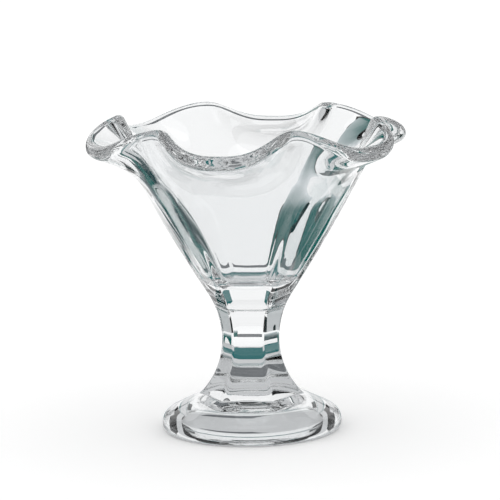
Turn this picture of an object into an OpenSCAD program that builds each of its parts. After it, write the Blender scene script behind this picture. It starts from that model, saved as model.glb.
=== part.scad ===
// Footed dessert glass of thick pressed glass: a flared six-panel bowl with a waved rim,
// a waisted six-sided stem and a domed round foot. Origin at the middle of the standing face.

/* [Stem] */
// Radius over the stem's corners at its waist
waist_r = 11.5; // [9:0.1:14]
// Height of the waist above the table
waist_z = 36.5; // [32:0.5:42]
// Radius of the sweep from the waist up to the bowl
sweep_up_r = 34; // [30:0.5:42]
// Radius of the sweep from the waist down to the foot
sweep_down_r = 31.5; // [29:0.5:40]
// Height of the seam between stem and foot
foot_seam_z = 14; // [12:0.5:16]
// Height of the seam between bowl and stem
bowl_seam_z = 50; // [47:0.5:52]

/* [Bowl] */
// Tilt of the bowl's corners from vertical where the stem's sweep ends, in degrees
start_tilt = 33; // [28:0.5:36]
// Tilt of the bowl's corners from vertical at the rim, in degrees
crest_tilt = 26; // [20:0.5:32]
// Length of the wall from the end of the sweep to the rim, measured up its slope
wall_len = 77; // [68:0.5:84]
// Extra tilt of each panel outwards, beyond that of a plain six-sided cone, in degrees
panel_lean = 0.6; // [0:0.1:1.5]
// Length of the straight part of each panel, below its lip
panel_len = 47; // [40:0.5:50]
// Length over which each panel curls outwards into its lip
lip_len = 23; // [16:0.5:25]
// Angle through which the lip turns outwards, in degrees
lip_turn = 38; // [20:1:45]
// Thickness of the wall at the middle of a panel
wall_t = 4.2; // [3:0.1:5]
// Thickness of the round bead along the rim
rim_t = 6; // [5:0.1:7]

/* [Cavity] */
// Distance up the wall, from the end of the sweep, at which the cavity's floor rounds off
cavity_start = 8.5; // [6:0.5:12]
// Radius of the rounding between the cavity's floor and its wall
floor_corner_r = 6; // [3:0.5:8]
// Depth of the dish in the cavity's floor
floor_dish = 0.6; // [0.2:0.1:1.5]

/* [Foot] */
// Radius of the foot
foot_r = 36; // [32:0.5:42]
// Radius of the foot's edge above its widest line
edge_up_r = 6; // [4:0.1:7]
// Radius of the foot's edge below its widest line
edge_low_r = 2.8; // [2:0.1:3.5]
// Radius of the shoulder round the stem's root
shoulder_r = 1.2; // [0.8:0.1:2]
// Width of the flat ring that the glass stands on
ring_w = 3.6; // [2:0.1:6]
// Height of the hollow under the foot
punt_h = 9; // [5:0.5:10]
// How squarely the hollow turns down to the ring, where 2 is a plain dome
punt_power = 5; // [2:0.5:8]

/* [Lobes] */
// Number of lobes on the rim, of panels on the bowl and of sides on the stem
lobes = 6; // [5:1:8]
// Half the width of a rounded corner, as seen from the axis, in degrees
corner_half = 3; // [2:0.5:8]
// Angle from a crest of the rim to the next corner of the panels, in degrees
panel_turn = 5; // [0:1:10]
// How narrow the crests are in plan: 1 is a plain wave
crest_power = 2.8; // [1:0.1:4]
// How narrow the crests are in height: 1 is a plain wave
crest_rise_power = 1.5; // [1:0.1:3]

/* [Hidden] */

glass = [0.80, 0.88, 0.88, 0.55];
$fn = 96;
fine_fn = 180;

// How finely the bowl is divided
steps_per_lobe = 12;
sweep_steps = 3;
wall_steps = 20;
bead_steps = 7;
cavity_steps = 17;
corner_steps = 4;
punt_steps = 14;

// Overrun of cutting shapes, and the small length over which a wall's slope is measured
over = 2;
feel = 0.2;

sector = 360 / lobes;
steps_round = lobes * steps_per_lobe;
flat_share = cos(sector / 2 - corner_half);
// Where along the wall the flat panels start to turn into the rim's wave, and where they end
wave_start_share = 0.15;
wave_end_share = 0.85;
// Where along the wall its thickness starts to grow into the rim
thicken_start_share = 0.55;

// Radius over the corners at height z of the sweeps below the bowl
function sweep_r(z) =
    let (r = z < waist_z ? sweep_down_r : sweep_up_r)
    waist_r + r - sqrt(r * r - pow(z - waist_z, 2));

sweep_end_z = waist_z + sweep_up_r * sin(start_tilt);
sweep_end_r = sweep_r(sweep_end_z);
panel_tilt = atan(flat_share * tan(start_tilt)) + panel_lean;
seam_tilt = asin((bowl_seam_z - waist_z) / sweep_up_r);

function smooth(x) = let (c = min(max(x, 0), 1)) c * c * (3 - 2 * c);

// Angle of direction a from the nearest corner of the panels
function from_corner(a) =
    let (b = a - panel_turn)
    abs(b - sector * round(b / sector));

// 1 at a rounded corner of the hexagon and 0 at the middle of a flat
function corner_weight(a) =
    (min(1, flat_share / cos(sector / 2 - from_corner(a))) - flat_share) / (1 - flat_share);

// 1 at a crest of the rim's wave and 0 at a trough
function wave(a) = (1 + cos(lobes * a)) / 2;

// Walk d along a stretch of length len that starts at p, tilted a from vertical, and turns by turn
function walk(p, d, len, a, turn) =
    let (v = min(max(d, 0), len), b = a + turn * v / len, r = len / (turn * PI / 180))
    turn == 0 ? p + v * [sin(a), cos(a)] : p + r * [cos(a) - cos(b), sin(b) - sin(a)];

// Outside of the bowl along a corner, as [radius, height], d up from the end of the sweep
function crest_line(d) =
    walk([sweep_end_r, sweep_end_z], d, wall_len + feel, start_tilt, crest_tilt - start_tilt);

// Outside of the bowl along the middle of a panel
function panel_line(d) =
    let (straight = walk([flat_share * sweep_end_r, sweep_end_z], d, panel_len, panel_tilt, 0))
    let (curled = walk(straight, d - panel_len, lip_len, panel_tilt, lip_turn))
    walk(curled, d - panel_len - lip_len, wall_len, panel_tilt + lip_turn, 0);

// How far the wall has turned from flat panels into the rim's wave, d up the wall
function waved(d) = smooth((d / wall_len - wave_start_share) / (wave_end_share - wave_start_share));

// Outside of the wall, between the two lines, d up the wall in direction a
function wall_point(d, a) =
    let (m = waved(d), low = corner_weight(a) * (1 - m))
    let (out_w = low + m * pow(wave(a), crest_power))
    let (up_w = low + m * pow(wave(a), crest_rise_power))
    let (p = panel_line(d), gap = crest_line(d) - p)
    p + [gap[0] * out_w, gap[1] * up_w];

// Direction up the wall, and the direction out of it
function slope(d, a) =
    let (v = wall_point(d + feel, a) - wall_point(d - feel, a))
    v / norm(v);
function outward(u) = [u[1], -u[0]];

// The sweep below the wall, at height z in direction a
function sweep_point(z, a) =
    [sweep_r(z) * (flat_share + (1 - flat_share) * corner_weight(a)), z];

// Inside of the wall. It is thicker towards the corners, so that the panels are flat inside too.
function cavity_point(d, a) =
    let (grow = smooth((d / wall_len - thicken_start_share) / (1 - thicken_start_share)))
    let (to_corner = 1 + (1 / flat_share - 1) * corner_weight(a) * (1 - waved(d)))
    wall_point(d, a) - (wall_t * to_corner + (rim_t - wall_t) * grow) * outward(slope(d, a));

// Round bead along the rim, t degrees round from its outer side
function bead_point(t, a) =
    let (u = slope(wall_len, a), n = outward(u), r = rim_t / 2)
    wall_point(wall_len, a) - r * n + r * (cos(t) * n + sin(t) * u);

// Rounding from the cavity's wall to its floor in direction a, s from 0 to 1. It has its named radius at
// the middle of a panel, and ends at the same height all round.
mid_panel = panel_turn + sector / 2;
floor_z = cavity_point(cavity_start, mid_panel)[1] - floor_corner_r * (1 - sin(panel_tilt));
function corner_point(s, a) =
    let (foot = cavity_point(cavity_start, a), u = slope(cavity_start, a), tilt = atan2(u[0], u[1]))
    let (r = (foot[1] - floor_z) / (1 - sin(tilt)), t = tilt + s * (90 - tilt))
    foot + r * [cos(t) - cos(tilt), sin(tilt) - sin(t)];
floor_rings = 3;
function floor_point(s, a) = [corner_point(1, a)[0] * (1 - s), floor_z - floor_dish * (1 - pow(1 - s, 2))];

// Rings of the bowl from the seam up the outside, over the bead, down the inside and in over the floor
turns = [for (i = [0 : steps_round - 1]) panel_turn + 360 * i / steps_round];
bowl_rings = concat(
    [for (i = [0 : sweep_steps - 1])
        let (z = waist_z + sweep_up_r * sin(seam_tilt + (start_tilt - seam_tilt) * i / sweep_steps))
        [for (a = turns) sweep_point(z, a)]],
    [for (i = [0 : wall_steps]) [for (a = turns) wall_point(wall_len * i / wall_steps, a)]],
    [for (i = [1 : bead_steps]) [for (a = turns) bead_point(180 * i / bead_steps, a)]],
    [for (i = [1 : cavity_steps])
        let (d = wall_len + (cavity_start - wall_len) * i / cavity_steps)
        [for (a = turns) cavity_point(d, a)]],
    [for (i = [1 : corner_steps]) [for (a = turns) corner_point(i / corner_steps, a)]],
    [for (i = [1 : floor_rings - 1]) [for (a = turns) floor_point(i / floor_rings, a)]]);

// Skin over rings of [radius, height] in the directions of turns, closed by a fan at each end
module loft(rings, low_z, high_z) {
    n = len(rings[0]);
    m = len(rings);
    ring_points = [for (ring = rings) for (j = [0 : n - 1])
        [ring[j][0] * cos(turns[j]), ring[j][0] * sin(turns[j]), ring[j][1]]];
    sides = [for (i = [0 : m - 2]) for (j = [0 : n - 1])
        let (k = (j + 1) % n)
        for (f = [[i * n + j, (i + 1) * n + k, i * n + k], [i * n + j, (i + 1) * n + j, (i + 1) * n + k]]) f];
    low_fan = [for (j = [0 : n - 1]) [n * m, j, (j + 1) % n]];
    high_fan = [for (j = [0 : n - 1]) [n * m + 1, (m - 1) * n + (j + 1) % n, (m - 1) * n + j]];
    polyhedron(concat(ring_points, [[0, 0, low_z], [0, 0, high_z]]), concat(sides, low_fan, high_fan));
}

module bowl() {
    color(glass)
        loft(bowl_rings, bowl_seam_z, floor_z - floor_dish);
}

// Radius of the arc that leaves the upright with this run out over this height
function arc_r(run, height) = (run * run + height * height) / (2 * run);

// One half of the stem, from the waist to end_z: a turned spool with a hollow-ground side per lobe
module half_stem(end_z) {
    height = abs(end_z - waist_z);
    corner_arc = arc_r(sweep_r(end_z) - waist_r, height);
    side_arc = arc_r(flat_share * (sweep_r(end_z) - waist_r), height);
    difference() {
        rotate_extrude()
            difference() {
                translate([0, min(end_z, waist_z)])
                    square([sweep_r(end_z), height]);
                translate([waist_r + corner_arc, waist_z])
                    circle(corner_arc, $fn = fine_fn);
            }
        for (side = [0 : lobes - 1])
            rotate([0, 0, panel_turn + sector * (side + 0.5)])
                translate([flat_share * waist_r + side_arc, 0, waist_z])
                    rotate([90, 0, 0])
                        cylinder(3 * sweep_r(end_z), side_arc, side_arc, center = true, $fn = fine_fn);
    }
}

module stem() {
    color(glass) {
        half_stem(foot_seam_z);
        half_stem(bowl_seam_z);
    }
}

// Section of the foot: shoulder, slope, rounded edge, standing ring and the hollow underneath
module foot_outline() {
    shoulder = [sweep_r(foot_seam_z), foot_seam_z - shoulder_r];
    edge = [foot_r - edge_up_r, edge_low_r];
    run = edge - shoulder;
    aim = atan2(run[1], run[0]) + acos((shoulder_r - edge_up_r) / norm(run));
    up = [cos(aim), sin(aim)];
    ring_r = foot_r - edge_low_r - ring_w;
    difference() {
        union() {
            polygon([
                [0, 0], [foot_r - edge_low_r, 0], [foot_r - edge_low_r, edge_low_r],
                edge + edge_up_r * up, shoulder + shoulder_r * up, [shoulder[0], foot_seam_z], [0, foot_seam_z]]);
            translate(shoulder)
                circle(shoulder_r);
            translate([foot_r - edge_low_r, edge_low_r])
                circle(edge_low_r);
            intersection() {
                translate(edge)
                    circle(edge_up_r);
                translate([0, edge_low_r])
                    square([foot_r + over, edge_up_r + over]);
            }
        }
        polygon([
            [0, punt_h], [0, -over], [ring_r, -over],
            for (step = [0:punt_steps - 1])
                let(share = 1 - pow(step / punt_steps, 1.5))
                    [ring_r * share, punt_h * (1 - pow(share, punt_power))]]);
    }
}

module foot() {
    color(glass)
        rotate_extrude()
            intersection() {
                foot_outline();
                square([foot_r + over, foot_seam_z + over]);
            }
}

bowl();
stem();
foot();
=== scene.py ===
# %% [markdown]
# A footed dessert glass in Blender
#
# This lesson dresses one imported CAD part, a thick pressed-glass dish on a stem, with meshes and
# materials that look like the real thing. The CAD model is the fixed frame: it says where every
# piece is and how large. Blender adds softened corners, smooth walls, clear glass and a studio.

# %% Load the frame
import math

import bmesh
import bpy
from mathutils import Matrix, Vector


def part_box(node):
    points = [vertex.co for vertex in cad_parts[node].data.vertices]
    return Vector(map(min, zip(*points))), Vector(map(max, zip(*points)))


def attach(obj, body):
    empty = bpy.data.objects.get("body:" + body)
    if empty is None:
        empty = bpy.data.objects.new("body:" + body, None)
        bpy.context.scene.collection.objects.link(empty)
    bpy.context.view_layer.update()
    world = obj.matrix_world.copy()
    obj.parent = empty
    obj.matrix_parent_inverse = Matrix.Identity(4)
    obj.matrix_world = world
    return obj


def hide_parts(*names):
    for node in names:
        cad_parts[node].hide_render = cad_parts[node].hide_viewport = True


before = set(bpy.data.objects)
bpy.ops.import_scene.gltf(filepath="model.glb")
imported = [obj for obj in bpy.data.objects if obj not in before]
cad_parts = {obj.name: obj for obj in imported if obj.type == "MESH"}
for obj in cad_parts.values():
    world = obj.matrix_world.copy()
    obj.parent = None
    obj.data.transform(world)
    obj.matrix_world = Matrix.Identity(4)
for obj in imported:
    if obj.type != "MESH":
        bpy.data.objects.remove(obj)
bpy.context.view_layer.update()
MM = 0.001
print("nodes in the frame:", sorted(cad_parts))

# %% [markdown]
# The sizes
#
# The glass was pressed in a mould with six sides, so everything on it follows from two lines: the
# corner line, which runs up a corner of the stem and out to a crest of the rim, and the panel line,
# which runs up the middle of a flat side and curls out into a lip. The seams between foot, stem and
# bowl and the foot's radius are read from the frame. The other sizes are the mould maker's driving
# sizes, in metres. A tilt is measured from upright.

# %% The sizes
LOBES = 6
foot_seam_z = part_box("stem")[0].z
bowl_seam_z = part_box("stem")[1].z
foot_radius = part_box("foot")[1].x

# The corners of the stem: a waist between two sweeps.
waist_radius = 11.5 * MM
waist_z = 36.5 * MM
sweep_up_radius = 34 * MM
sweep_down_radius = 31.5 * MM

# The wall of the bowl: its corners, from the sweep to the crests, then its flat panels and the lip.
wall_length = 76.85 * MM
start_tilt = math.radians(33)
crest_tilt = math.radians(26)
panel_turn = math.radians(5)
panel_lean = math.radians(0.6)
panel_length = 47 * MM
lip_length = 23 * MM
lip_turn = math.radians(38)
wall_thickness = 4.2 * MM
rim_thickness = 6 * MM
print("seams at", round(foot_seam_z, 4), "and", round(bowl_seam_z, 4), "m")

# %% [markdown]
# A soft hexagon
#
# Hot glass rounds off every corner of its mould. A hexagon with soft corners could be a bevelled
# prism, but the bowl changes from hexagon to wave as it rises, so a formula is easier: six flat
# sides are blended by a power sum. A higher power gives a sharper corner.

# %% A soft hexagon
SECTOR = 2 * math.pi / LOBES
corner_power = 24


def side_reach(angle):
    """Radius of a soft hexagon with flats 1 from the axis, at an angle from one of its corners."""
    total = 0.0
    for side in range(LOBES):
        facing = math.cos(angle - SECTOR * (side + 0.5))
        if facing > 0:
            total += facing ** corner_power
    return total ** (-1 / corner_power)


corner_reach = side_reach(0)
flat_share = side_reach(SECTOR / 2) / corner_reach


def corner_weight(angle):
    """1 at a corner of the panels and 0 at the middle of one; the corners stand off the rim's crests."""
    return (side_reach(angle - panel_turn) / corner_reach - flat_share) / (1 - flat_share)


print("a flat lies at", round(flat_share, 3), "of the corner's radius")

# %% [markdown]
# The two lines of the wall
#
# A line that bends at a steady rate is easy to follow by walking along it: after a distance d the
# heading has turned by a known angle. The corner line is one such walk, the panel line is three:
# straight, curling outwards, straight again.

# %% The two lines of the wall


def walk(start, distance, length, tilt, turn):
    """The point after a distance along a stretch that starts tilted from vertical and turns."""
    done = min(max(distance, 0), length)
    if turn == 0:
        return (start[0] + done * math.sin(tilt), start[1] + done * math.cos(tilt))
    radius = length / turn
    heading = tilt + turn * done / length
    return (
        start[0] + radius * (math.cos(tilt) - math.cos(heading)),
        start[1] + radius * (math.sin(heading) - math.sin(tilt)),
    )


def sweep_radius(height):
    """Radius over the corners where the stem sweeps out below the bowl and above the foot."""
    bend = sweep_down_radius if height < waist_z else sweep_up_radius
    return waist_radius + bend - math.sqrt(bend ** 2 - (height - waist_z) ** 2)


# A slope of the wall is felt at two points, one this far below and one this far above.
feel = 0.2 * MM
sweep_end_z = waist_z + sweep_up_radius * math.sin(start_tilt)
sweep_end = (sweep_radius(sweep_end_z), sweep_end_z)
panel_start = (flat_share * sweep_end[0], sweep_end[1])
panel_tilt = math.atan(flat_share * math.tan(start_tilt)) + panel_lean


def corner_line(distance):
    """A point up a corner of the wall, on the way to a crest of the rim."""
    return walk(sweep_end, distance, wall_length + feel, start_tilt, crest_tilt - start_tilt)


def panel_line(distance):
    """A point up the middle of a flat side: straight, curling outwards, straight again."""
    point = walk(panel_start, distance, panel_length, panel_tilt, 0)
    point = walk(point, distance - panel_length, lip_length, panel_tilt, lip_turn)
    return walk(point, distance - panel_length - lip_length, wall_length, panel_tilt + lip_turn, 0)


print("panel line ends at", [round(v, 4) for v in panel_line(wall_length)])

# %% [markdown]
# From panels to waves
#
# Low down the bowl has six flat panels, outside and inside. The rim is shaped in a second step,
# while the glass is still soft, into a wave with six crests, which stand a few degrees off the
# corners of the panels. A smooth step up the wall blends from the one to the other.

# %% From panels to waves
wave_start_share = 0.15
wave_end_share = 0.85
# A power above 1 narrows the crests, the first in how far they reach out, the second in their rise.
crest_power = 2.8
crest_rise_power = 1.5


def smooth_step(value):
    """A soft step: 0 for values below 0, 1 for values above 1 and an easy curve between."""
    value = min(max(value, 0), 1)
    return value * value * (3 - 2 * value)


def waved(distance):
    """0 where the wall still has flat panels and 1 where it has turned into the rim's wave."""
    share = (distance / wall_length - wave_start_share) / (wave_end_share - wave_start_share)
    return smooth_step(share)


def wall_point(distance, angle):
    """A point on the outside of the wall."""
    turned = waved(distance)
    low = corner_weight(angle) * (1 - turned)
    wave = (1 + math.cos(LOBES * angle)) / 2
    panel, corner = panel_line(distance), corner_line(distance)
    out_share = low + turned * wave ** crest_power
    up_share = low + turned * wave ** crest_rise_power
    return (
        panel[0] + (corner[0] - panel[0]) * out_share,
        panel[1] + (corner[1] - panel[1]) * up_share,
    )


crest, dip = wall_point(wall_length, 0), wall_point(wall_length, SECTOR / 2)
print("the rim's wave is", round((crest[1] - dip[1]) / MM, 1), "mm high")

# %% [markdown]
# The inside and the bead
#
# The wall of a pressed glass is nearly even, thick enough to fill out in the mould. An inside that
# is the outside made smaller would leave it thin where it leans far out, so the thickness is set
# off square to the outside at every point. Towards the rim it grows into a round bead, which closes
# the wall at the top.

# %% The inside and the bead
thicken_start_share = 0.55


def wall_slope(distance, angle):
    """Unit direction up the wall as (outwards, upwards)."""
    low = wall_point(distance - feel, angle)
    high = wall_point(distance + feel, angle)
    run, rise = high[0] - low[0], high[1] - low[1]
    length = math.hypot(run, rise)
    return run / length, rise / length


def cavity_point(distance, angle):
    """A point on the inside; the wall is thicker to the corners, so that the panels are flat there."""
    share = (distance / wall_length - thicken_start_share) / (1 - thicken_start_share)
    to_corner = 1 + (1 / flat_share - 1) * corner_weight(angle) * (1 - waved(distance))
    thickness = wall_thickness * to_corner + (rim_thickness - wall_thickness) * smooth_step(share)
    point = wall_point(distance, angle)
    run, rise = wall_slope(distance, angle)
    return point[0] - thickness * rise, point[1] + thickness * run


def bead_point(turned, angle):
    """A point on the round bead of the rim, turned from its outer side over the top."""
    run, rise = wall_slope(wall_length, angle)
    edge = wall_point(wall_length, angle)
    radius = rim_thickness / 2
    out, up = math.cos(turned) - 1, math.sin(turned)
    return edge[0] + radius * (out * rise + up * run), edge[1] + radius * (up * rise - out * run)


print("over a crest the bead ends at", round(bead_point(math.pi / 2, 0)[1], 4), "m")

# %% [markdown]
# A section that can be spun
#
# Each piece starts as one open line, its section, from a point on the axis round to another point
# on the axis. Spinning the section makes a closed skin with clean rings, which a grid primitive or
# a boolean would not. Every vertex remembers its station on the section, so that afterwards it can
# be pressed to the place that the mould gives it in its own direction round the axis. The mould
# repeats six times, so a section is worked out once for all six lobes. The steps are fine, because
# light that runs round inside the thick rim meets each facet many times and shows a coarse mesh.

# %% A section that can be spun
turns_round = 480
steps_a_lobe = turns_round // LOBES
weld_distance = 0.001 * MM
axis_zone = 0.01 * MM


def spin(section):
    """Spin a section into a closed skin whose vertices know their station on it."""
    form = bmesh.new()
    station = form.verts.layers.float.new("station")
    line = []
    for number, (radius, height) in enumerate(section):
        vertex = form.verts.new((radius, 0, height))
        vertex[station] = number
        line.append(vertex)
    links = [form.edges.new(pair) for pair in zip(line, line[1:])]
    bmesh.ops.spin(
        form, geom=line + links, cent=(0, 0, 0), axis=(0, 0, 1), dvec=(0, 0, 0),
        angle=2 * math.pi, steps=turns_round, use_merge=True, use_duplicate=False,
    )
    bmesh.ops.remove_doubles(form, verts=form.verts[:], dist=weld_distance)
    return form, station


def press(form, station, section_at):
    """Press each vertex to the place that section_at gives its station at its own angle."""
    sections = {}
    for vertex in form.verts:
        if math.hypot(vertex.co.x, vertex.co.y) < axis_zone:
            continue
        turn = math.atan2(vertex.co.y, vertex.co.x) / (2 * math.pi)
        step = round(turn * turns_round) % turns_round
        angle = 2 * math.pi * step / turns_round
        alike = step % steps_a_lobe
        if alike not in sections:
            sections[alike] = section_at(2 * math.pi * alike / turns_round)
        radius, height = sections[alike][round(vertex[station])]
        vertex.co = (radius * math.cos(angle), radius * math.sin(angle), height)


def glass_piece(name, section_at, cap_stations):
    """Make one piece; its faces between a pair of cap stations are flat and take the second slot."""
    section = section_at(SECTOR / 2)
    form, station = spin(section)
    press(form, station, section_at)
    bmesh.ops.recalc_face_normals(form, faces=form.faces[:])
    for face in form.faces:
        numbers = [vertex[station] for vertex in face.verts]
        is_cap = any(low <= min(numbers) and max(numbers) <= high for low, high in cap_stations)
        face.smooth = not is_cap
        face.material_index = int(is_cap)
    mesh = bpy.data.meshes.new(name)
    form.to_mesh(mesh)
    form.free()
    piece = bpy.data.objects.new(name, mesh)
    bpy.context.scene.collection.objects.link(piece)
    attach(piece, "root")
    print(name, "has", len(mesh.polygons), "faces on", len(section), "stations")
    return piece


print("a step round is", round(360 / turns_round, 2), "degrees")

# %% [markdown]
# The floor of the bowl
#
# The plunger that pressed the inside had a rounded end, so the wall runs round into a small floor
# that is dished a little. The rounding could be a bevel along the edge. An arc worked out for each
# direction is surer, because it ends at one height all round, whatever the wall's tilt.

# %% The floor of the bowl
cavity_start = 8.5 * MM
floor_corner_radius = 6 * MM
floor_corner_rings = 7
floor_dish = 0.6 * MM
floor_rings = 5
mid_panel = panel_turn + SECTOR / 2
floor_z = cavity_point(cavity_start, mid_panel)[1] - floor_corner_radius * (1 - math.sin(panel_tilt))


def spread(count, start=0.0, end=1.0):
    """count even steps from start to end, with the start left out."""
    return [start + (end - start) * (number + 1) / count for number in range(count)]


def floor_line(angle):
    """Points from the foot of the cavity's wall round and over the floor to the axis."""
    start = cavity_point(cavity_start, angle)
    run, rise = wall_slope(cavity_start, angle)
    tilt = math.atan2(run, rise)
    radius = (start[1] - floor_z) / (1 - math.sin(tilt))
    line = []
    for turned in spread(floor_corner_rings, tilt, math.pi / 2):
        line.append((
            start[0] + radius * (math.cos(turned) - math.cos(tilt)),
            start[1] - radius * (math.sin(turned) - math.sin(tilt)),
        ))
    reach = line[-1][0]
    for share in spread(floor_rings):
        line.append((reach * (1 - share), floor_z - floor_dish * (1 - (1 - share) ** 2)))
    return line


print("the cavity's floor lies at", round(floor_z, 4), "m")

# %% [markdown]
# The bowl
#
# On the real glass the bowl is a six-panelled funnel with a thick waved rim over a solid base. Its
# section runs from the seam with the stem up the outside, over the bead, down the inside and over
# the floor to the axis. Since one section holds all of it, the skin is closed without a boolean.

# %% The bowl
cap_rings = 3
sweep_rings = 6
wall_rings = 50
bead_rings = 28
cavity_rings = 44
seam_tilt = math.asin((bowl_seam_z - waist_z) / sweep_up_radius)


def sweep_point(height, angle):
    """A point on the soft hexagon of the stem, which the bottom of the bowl carries on."""
    return sweep_radius(height) * (flat_share + (1 - flat_share) * corner_weight(angle)), height


def bowl_section(angle):
    """The bowl's section: seam, sweep, wall, bead, inside and floor."""
    edge = sweep_point(bowl_seam_z, angle)
    line = [(0, bowl_seam_z)] + [(edge[0] * share, bowl_seam_z) for share in spread(cap_rings)]
    for tilt in spread(sweep_rings, seam_tilt, start_tilt):
        line.append(sweep_point(waist_z + sweep_up_radius * math.sin(tilt), angle))
    line += [wall_point(distance, angle) for distance in spread(wall_rings, 0, wall_length)]
    line += [bead_point(turned, angle) for turned in spread(bead_rings, 0, math.pi)]
    for distance in spread(cavity_rings, wall_length, cavity_start):
        line.append(cavity_point(distance, angle))
    return line + floor_line(angle)


bowl = glass_piece("bowl_glass", bowl_section, [(0, cap_rings)])
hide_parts("bowl")

# %% [markdown]
# The stem
#
# The stem is a solid six-sided bar, drawn in at the waist. It could be cut from a prism, but
# spinning and pressing it with the same soft hexagon makes its corners meet the bowl's exactly.

# %% The stem
stem_rings = 48


def stem_section(angle):
    """The stem's section: lower seam, the two sweeps and upper seam."""
    low, high = sweep_point(foot_seam_z, angle), sweep_point(bowl_seam_z, angle)
    line = [(0, foot_seam_z)] + [(low[0] * share, foot_seam_z) for share in spread(cap_rings)]
    line += [sweep_point(height, angle) for height in spread(stem_rings, foot_seam_z, bowl_seam_z)]
    line += [(high[0] * (1 - share), bowl_seam_z) for share in spread(cap_rings)]
    return line


last_ring = cap_rings + stem_rings
stem = glass_piece("stem_glass", stem_section, [(0, cap_rings), (last_ring, last_ring + cap_rings)])
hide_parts("stem")

# %% [markdown]
# The foot
#
# The foot is a thick round disc with a sloping top, a rolled edge, a flat ring to stand on and a
# hollow underneath. The mould leaves no corner where the six-sided stem runs into it, so the top
# starts as the stem's soft hexagon and bends over into the round slope along a parabola. The
# hollow matters as much as the top, because it is what one sees through the glass: it rises
# steeply from the ring and then flattens into a dome under the stem.

# %% The foot
edge_up_radius = 6 * MM
edge_low_radius = 2.8 * MM
shoulder_radius = 1.2 * MM
blend_radius = 25.5 * MM
ring_width = 3.6 * MM
hollow_height = 9 * MM
hollow_power = 5
# A power above 1 crowds the hollow's rings next to the standing ring, where the hollow is steep.
hollow_spacing = 1.5
blend_rings = 12
slope_rings = 5
edge_up_rings = 14
edge_low_rings = 10
standing_rings = 4
hollow_rings = 26


def arc(centre, radius, start, end, count):
    """Points on an arc from one angle to another, with the first left out."""
    return [
        (centre[0] + radius * math.cos(turned), centre[1] + radius * math.sin(turned))
        for turned in spread(count, start, end)
    ]


def between(start, end, share):
    """The point at a share of the way from start to end."""
    return tuple(p + (q - p) * share for p, q in zip(start, end))


shoulder = (sweep_radius(foot_seam_z), foot_seam_z - shoulder_radius)
edge = (foot_radius - edge_up_radius, edge_low_radius)
low_edge = (foot_radius - edge_low_radius, edge_low_radius)
lean = math.atan2(edge[1] - shoulder[1], edge[0] - shoulder[0])
span = math.hypot(edge[0] - shoulder[0], edge[1] - shoulder[1])
slope_facing = lean + math.acos((shoulder_radius - edge_up_radius) / span)
slope_fall = 1 / math.tan(slope_facing)
slope_end = arc(edge, edge_up_radius, 0, slope_facing, 1)[0]
blend_end = (blend_radius, slope_end[1] + slope_fall * (slope_end[0] - blend_radius))
stem_fall = 1 / math.tan(math.asin((waist_z - foot_seam_z) / sweep_down_radius))
print("top of the foot falls", round(math.degrees(math.atan(slope_fall)), 1), "degrees outwards")


def foot_section(angle):
    """The foot's section: seam, blend, slope, rolled edge, standing ring and hollow."""
    start = sweep_point(foot_seam_z, angle)
    reach = (start[1] - blend_end[1] - slope_fall * (blend_end[0] - start[0])) / (stem_fall - slope_fall)
    bend = (start[0] + reach, start[1] - stem_fall * reach)
    line = [(0, foot_seam_z)] + [(start[0] * share, foot_seam_z) for share in spread(cap_rings)]
    for share in spread(blend_rings):
        line.append(between(between(start, bend, share), between(bend, blend_end, share), share))
    line += [between(blend_end, slope_end, share) for share in spread(slope_rings)]
    line += arc(edge, edge_up_radius, slope_facing, 0, edge_up_rings)
    line += arc(low_edge, edge_low_radius, 0, -math.pi / 2, edge_low_rings)
    line += [(low_edge[0] - ring_width * share, 0) for share in spread(standing_rings)]
    radius = line[-1][0]
    for share in spread(hollow_rings):
        out = 1 - share ** hollow_spacing
        line.append((radius * out, hollow_height * (1 - out ** hollow_power)))
    return line


foot = glass_piece("foot_glass", foot_section, [(0, cap_rings)])
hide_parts("foot")

# %% [markdown]
# Clear pressed glass
#
# The real glass is soda-lime glass pressed hot into an iron mould. It is clear, a little grey where
# the light goes through several walls, and its skin keeps a faint wave from the mould, which bends
# the light more than it can be seen itself. A principled shader with full transmission and an index
# of 1.52 does the bending. Its base colour is kept just under white, because each wall takes that
# share of the light, and a low noise on object coordinates gives the wave. Light for the shadow goes
# through a plain clear shader, since light bent into the shadow would take far more samples.

# %% Clear pressed glass
glass_index = 1.52
glass_tint = (0.928, 0.938, 0.943, 1)
shadow_tint = (0.88, 0.9, 0.9, 1)
wave_scale = 70.0
wave_detail = 1.5
wave_distortion = 0.4
wave_strength = 0.12
wave_depth = 0.4 * MM


def node_tree(material):
    """Give a material an empty node tree."""
    material.use_nodes = True
    tree = material.node_tree
    tree.nodes.clear()
    return tree


def add_node(tree, kind, **inputs):
    """Add one node and set its inputs, whose blanks are written as underscores."""
    node = tree.nodes.new(kind)
    for name, value in inputs.items():
        node.inputs[name.replace("_", " ")].default_value = value
    return node


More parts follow.
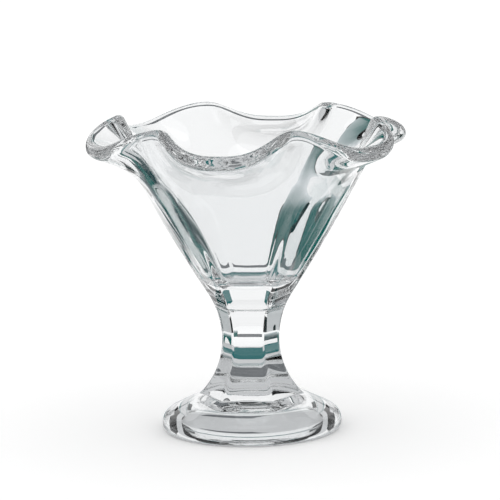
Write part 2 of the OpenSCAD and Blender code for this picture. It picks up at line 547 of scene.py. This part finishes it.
def glass_material():
    """Clear glass with a faint wave in its skin, which lets the light of the room through."""
    material = bpy.data.materials.new("clear_pressed_glass")
    tree = node_tree(material)
    output = add_node(tree, "ShaderNodeOutputMaterial")
    body = add_node(tree, "ShaderNodeBsdfPrincipled", Roughness=0.0, IOR=glass_index)
    body.inputs["Base Color"].default_value = glass_tint
    body.inputs["Transmission Weight"].default_value = 1.0
    place = add_node(tree, "ShaderNodeTexCoord")
    wave = add_node(
        tree, "ShaderNodeTexNoise", Scale=wave_scale, Detail=wave_detail, Distortion=wave_distortion
    )
    bump = add_node(tree, "ShaderNodeBump", Strength=wave_strength, Distance=wave_depth)
    tree.links.new(place.outputs["Object"], wave.inputs["Vector"])
    tree.links.new(wave.outputs[0], bump.inputs["Height"])
    tree.links.new(bump.outputs[0], body.inputs["Normal"])
    lamps = add_node(tree, "ShaderNodeBsdfTransparent")
    lamps.inputs["Color"].default_value = shadow_tint
    path = add_node(tree, "ShaderNodeLightPath")
    mix = add_node(tree, "ShaderNodeMixShader")
    tree.links.new(path.outputs["Is Shadow Ray"], mix.inputs[0])
    tree.links.new(body.outputs[0], mix.inputs[1])
    tree.links.new(lamps.outputs[0], mix.inputs[2])
    tree.links.new(mix.outputs[0], output.inputs["Surface"])
    return material


glass = glass_material()
print("the glass has an index of", glass_index)

# %% [markdown]
# Fused seams
#
# The three pieces are one melt on the real glass. They touch in flat seams, and a seam with two
# glass surfaces would mirror like a crack. The caps could be deleted, but then no piece would be a
# closed skin. So they keep their place and have a clear paint, and light goes on as in solid glass.

# %% Fused seams


def seam_material():
    """Clear paint for the caps where two pieces are one melt."""
    material = bpy.data.materials.new("fused_seam")
    tree = node_tree(material)
    output = add_node(tree, "ShaderNodeOutputMaterial")
    clear = add_node(tree, "ShaderNodeBsdfTransparent")
    tree.links.new(clear.outputs[0], output.inputs["Surface"])
    return material


seam = seam_material()
for piece in (bowl, stem, foot):
    piece.data.materials.append(glass)
    piece.data.materials.append(seam)
    caps = sum(polygon.material_index == 1 for polygon in piece.data.polygons)
    print(piece.name, "has", len(piece.data.polygons) - caps, "glass faces and", caps, "seam faces")

# %% [markdown]
# The camera
#
# The photograph was taken from a little above the rim's height with a long lens, which keeps the
# rim's ellipse flat. The camera here is placed by its distance from the glass and by its angles
# above the table and round the axis. It comes before the studio, because glass is lit from where it
# is looked at.

# %% The camera
camera_distance = 1.1933
camera_above = math.radians(9.633)
camera_round = math.radians(-79.65)
camera_roll = math.radians(1.07)
aim_z = 72.24 * MM
focal_share = 5.989
picture_shift = 0.00194
sensor_width = 36.0
camera_near = 0.01

scene = bpy.context.scene
camera_data = bpy.data.cameras.new("camera")
camera = bpy.data.objects.new("camera", camera_data)
scene.collection.objects.link(camera)
scene.camera = camera
camera_data.sensor_width = sensor_width
camera_data.lens = sensor_width * focal_share
camera_data.shift_x = picture_shift
camera_data.clip_start = camera_near
away = Vector((
    math.cos(camera_above) * math.cos(camera_round),
    math.cos(camera_above) * math.sin(camera_round),
    math.sin(camera_above),
))
looking = (-away).to_track_quat("-Z", "Y").to_matrix().to_4x4()
camera.matrix_world = (
    Matrix.Translation(Vector((0, 0, aim_z)) + away * camera_distance)
    @ looking @ Matrix.Rotation(-camera_roll, 4, "Z")
)
print("the camera stands at", [round(v, 3) for v in camera.matrix_world.translation])

# %% [markdown]
# The white room
#
# Clear glass has no colour of its own: it shows what stands round it, bent into new shapes. A white
# world of strength 1 gives the plain ground of the photograph. Glass that sends light on through
# many walls needs more bounces than the usual scene, also glossy ones, since every reflection
# inside counts.

# %% The white room
light_bounces = 40
scene.view_settings.view_transform = "Standard"
scene.cycles.max_bounces = light_bounces
scene.cycles.glossy_bounces = light_bounces
scene.cycles.transmission_bounces = light_bounces
scene.cycles.transparent_max_bounces = light_bounces
world = bpy.data.worlds.new("white_room")
scene.world = world
world.use_nodes = True
background = world.node_tree.nodes["Background"]
background.inputs["Color"].default_value = (1, 1, 1, 1)
background.inputs["Strength"].default_value = 1.0
print("light goes on for up to", light_bounces, "bounces")

# %% [markdown]
# The table
#
# The glass stands on white board, and a board that bounces light keeps the soft shadow round the
# foot. It lies a hair below the foot, so that the two never share a plane. Seen by the camera,
# straight or through the glass, the board glows a little as well, and so comes out as white as the
# world behind it, with no horizon.

# %% The table
table_white = 0.98
table_lift = 0.1
table_radius = 3.0
table_sides = 64
table_z = -0.1 * MM


def stage_object(name, form, paint):
    """Turn a bmesh into a thing of the studio, which isn't part of the glass."""
    mesh = bpy.data.meshes.new(name)
    form.to_mesh(mesh)
    form.free()
    mesh.materials.append(paint)
    thing = bpy.data.objects.new(name, mesh)
    scene.collection.objects.link(thing)
    return thing


def table_paint():
    """White paint that keeps its shadows and looks a little lighter than the light on it."""
    material = bpy.data.materials.new("white_table")
    tree = node_tree(material)
    output = add_node(tree, "ShaderNodeOutputMaterial")
    matt = add_node(tree, "ShaderNodeBsdfDiffuse")
    matt.inputs["Color"].default_value = (table_white, table_white, table_white, 1)
    path = add_node(tree, "ShaderNodeLightPath")
    seen = path.outputs["Is Camera Ray"]
    for ray in ("Is Glossy Ray", "Is Transmission Ray"):
        either = add_node(tree, "ShaderNodeMath")
        either.operation = "MAXIMUM"
        tree.links.new(seen, either.inputs[0])
        tree.links.new(path.outputs[ray], either.inputs[1])
        seen = either.outputs[0]
    lift = add_node(tree, "ShaderNodeMath")
    lift.operation = "MULTIPLY"
    tree.links.new(seen, lift.inputs[0])
    lift.inputs[1].default_value = table_lift
    glow = add_node(tree, "ShaderNodeEmission")
    tree.links.new(lift.outputs[0], glow.inputs["Strength"])
    both = add_node(tree, "ShaderNodeAddShader")
    tree.links.new(matt.outputs[0], both.inputs[0])
    tree.links.new(glow.outputs[0], both.inputs[1])
    tree.links.new(both.outputs[0], output.inputs["Surface"])
    return material


form = bmesh.new()
bmesh.ops.create_circle(form, cap_ends=True, segments=table_sides, radius=table_radius)
bmesh.ops.translate(form, verts=form.verts[:], vec=(0, 0, table_z))
stage_object("table", form, table_paint())
print("the table reaches", table_radius, "m")

# %% [markdown]
# Card paints
#
# In a room that is white all round, glass vanishes. A photographer of glass therefore leaves a
# bright opening behind it and stands dark cards everywhere else: light that an edge bends far to
# the side then comes from a dark card, and the edge is drawn as a dark line. A card only has to
# keep its colour, so its paint is plain emission, which takes no light and no shadow from the room.
# Three of the paints fade with the distance from the axis, for streaks that end softly.

# %% Card paints
pine = (0.01, 0.045, 0.05)
deep_teal = (0.0, 0.105, 0.095)


def card_paint(name, colour):
    """Paint that keeps its colour under any light."""
    material = bpy.data.materials.new(name)
    tree = node_tree(material)
    output = add_node(tree, "ShaderNodeOutputMaterial")
    glow = add_node(tree, "ShaderNodeEmission", Strength=1.0)
    glow.inputs["Color"].default_value = (*colour, 1)
    tree.links.new(glow.outputs[0], output.inputs["Surface"])
    return material


def fading_paint(name, colour, pale, near, far):
    """Card paint that goes over into a pale one with the distance from the axis."""
    material = card_paint(name, colour)
    tree = material.node_tree
    place = add_node(tree, "ShaderNodeTexCoord")
    distance = add_node(tree, "ShaderNodeVectorMath")
    distance.operation = "LENGTH"
    tree.links.new(place.outputs["Object"], distance.inputs[0])
    share = add_node(tree, "ShaderNodeMapRange", From_Min=near, From_Max=far)
    tree.links.new(distance.outputs["Value"], share.inputs["Value"])
    shade = add_node(tree, "ShaderNodeValToRGB")
    shade.color_ramp.elements[0].color = (*colour, 1)
    shade.color_ramp.elements[1].color = (*pale, 1)
    tree.links.new(share.outputs[0], shade.inputs[0])
    tree.links.new(shade.outputs[0], tree.nodes["Emission"].inputs["Color"])
    return material


PAINTS = {
    "velvet": card_paint("black_velvet", (0.0, 0.0, 0.0)),
    "pine": card_paint("pine_card", pine),
    "slate": card_paint("slate_card", (0.17, 0.18, 0.19)),
    "ash": card_paint("ash_card", (0.3, 0.31, 0.32)),
    "grey": card_paint("grey_card", (0.6, 0.61, 0.62)),
    "teal": card_paint("teal_card", (0.0, 0.125, 0.13)),
    "fade_near": fading_paint("near_fade", deep_teal, (0.66, 0.72, 0.74), near=0.22, far=0.34),
    "fade_left": fading_paint("left_fade", pine, (0.62, 0.67, 0.69), near=0.22, far=0.36),
    "fade_far": fading_paint("far_fade", deep_teal, (0.78, 0.82, 0.84), near=0.38, far=0.68),
}
print("card paints:", ", ".join(PAINTS))

# %% [markdown]
# The screen round the glass
#
# The screen stands in a circle and leaves an opening straight behind the glass. It could be one
# dark wall, but then every edge would come out equally black, so dark and grey cards take turns. A
# black ring hangs above, and two teal cards hang high behind the glass for the head of the stem.
# Each card is one line swept round the axis, and its place is given in degrees from straight behind
# the glass, counted to the right as the camera sees it. The cards are seen only in the glass and
# throw no shadow.

# %% The screen round the glass
behind = camera_round + math.pi
step_degrees = 3


def card(name, paint, from_degrees, to_degrees, low, high):
    """Sweep the line from low to high, given as (radius, height), round the glass."""
    form = bmesh.new()
    start = behind - math.radians(to_degrees)
    line = [form.verts.new((r * math.cos(start), r * math.sin(start), z)) for r, z in (low, high)]
    rim = form.edges.new(line)
    bmesh.ops.spin(
        form, geom=line + [rim], cent=(0, 0, 0), axis=(0, 0, 1), dvec=(0, 0, 0),
        angle=math.radians(to_degrees - from_degrees),
        steps=max(1, round((to_degrees - from_degrees) / step_degrees)),
        use_merge=False, use_duplicate=False,
    )
    thing = stage_object(name, form, PAINTS[paint])
    thing.visible_camera = False
    thing.visible_diffuse = False
    thing.visible_shadow = False
    print("card", name, "spans", round(to_degrees - from_degrees, 1), "degrees")


screen_distance = 0.5
screen_top = 0.87
low_top = 0.155
raised_bottom = 0.2
# Each row holds the first and the last degree, the paint, and the lower and the upper edge.
SCREEN = (
    (18, 39, "velvet", 0, low_top),
    (39, 51, "grey", 0, screen_top),
    (51, 75, "velvet", 0, screen_top),
    (75, 90, "grey", 0, screen_top),
    (90, 120, "slate", 0, screen_top),
    (120, 180, "ash", raised_bottom, screen_top),
)
for start, end, paint, bottom, top in SCREEN:
    low, high = (screen_distance, bottom), (screen_distance, top)
    card(f"screen_right_{start}", paint, start, end, low, high)
    card(f"screen_left_{start}", paint, -end, -start, low, high)

ring_low, ring_high = (0.49, 0.46), (0.3, 0.95)
card("upper_ring", "velvet", 0, 360, ring_low, ring_high)
hanging_low, hanging_high = (screen_distance, 0.33), (screen_distance, 0.5)
card("hanging_left", "teal", -21, -4, hanging_low, hanging_high)
card("hanging_right", "teal", 2, 18, hanging_low, hanging_high)

# %% [markdown]
# Cards on the table
#
# The foot, the stem and the panels bend the light down, so what tints them lies on the table, near
# the foot and far behind it. Wide cards would tint everything, so each is cut to the stretch that
# one part of the glass looks at. Cards that overlap lie in two layers, a hair apart. The two cards
# under the glass are painted shadow: grey and slate for the shade that the glass casts on the table.

# %% Cards on the table
layer_share = 0.1
# Each row holds the name, the paint, the first and the last degree, the nearest and the farthest
# distance from the axis in millimetres, and the layer.
TABLE_CARDS = (
    # Under the glass: painted shadow, cards that darken the table where the glass shades it.
    ("painted_shadow_under_foot", "grey", 0, 360, 0, 115, 1),
    ("painted_shadow_under_stem", "slate", -80, 20, 0, 22, 2),
    # Close behind the foot.
    ("ring", "teal", -50, 60, 55, 80, 2),
    ("ring_behind", "teal", -12, 12, 80, 108, 2),
    # On the right.
    ("right_patch", "teal", 60, 90, 80, 150, 2),
    ("right_streak", "fade_near", 41, 59, 110, 340, 2),
    ("right_dark", "slate", 66, 105, 165, 230, 2),
    # On the left.
    ("left_patch", "teal", -48, -30, 80, 115, 2),
    ("left_streak", "fade_near", -50, -40, 115, 330, 2),
    ("left_dark_near", "pine", -90, -62, 84, 160, 2),
    ("left_dark_middle", "fade_left", -62, -50, 115, 330, 2),
    ("left_dark_far", "fade_left", -40, -30, 165, 360, 2),
    # Far behind.
    ("behind_line", "slate", -9, 9, 240, 335, 1),
    ("behind_streak", "fade_far", 8.5, 15, 250, 720, 2),
    ("behind_edge_near", "velvet", 7.5, 8.5, 250, 560, 2),
    ("behind_edge_far", "velvet", 15, 16, 250, 560, 2),
)
for name, paint, start, end, near_mm, far_mm, layer in TABLE_CARDS:
    height = table_z * (1 - layer_share * layer)
    card(name, paint, start, end, (near_mm * MM, height), (far_mm * MM, height))
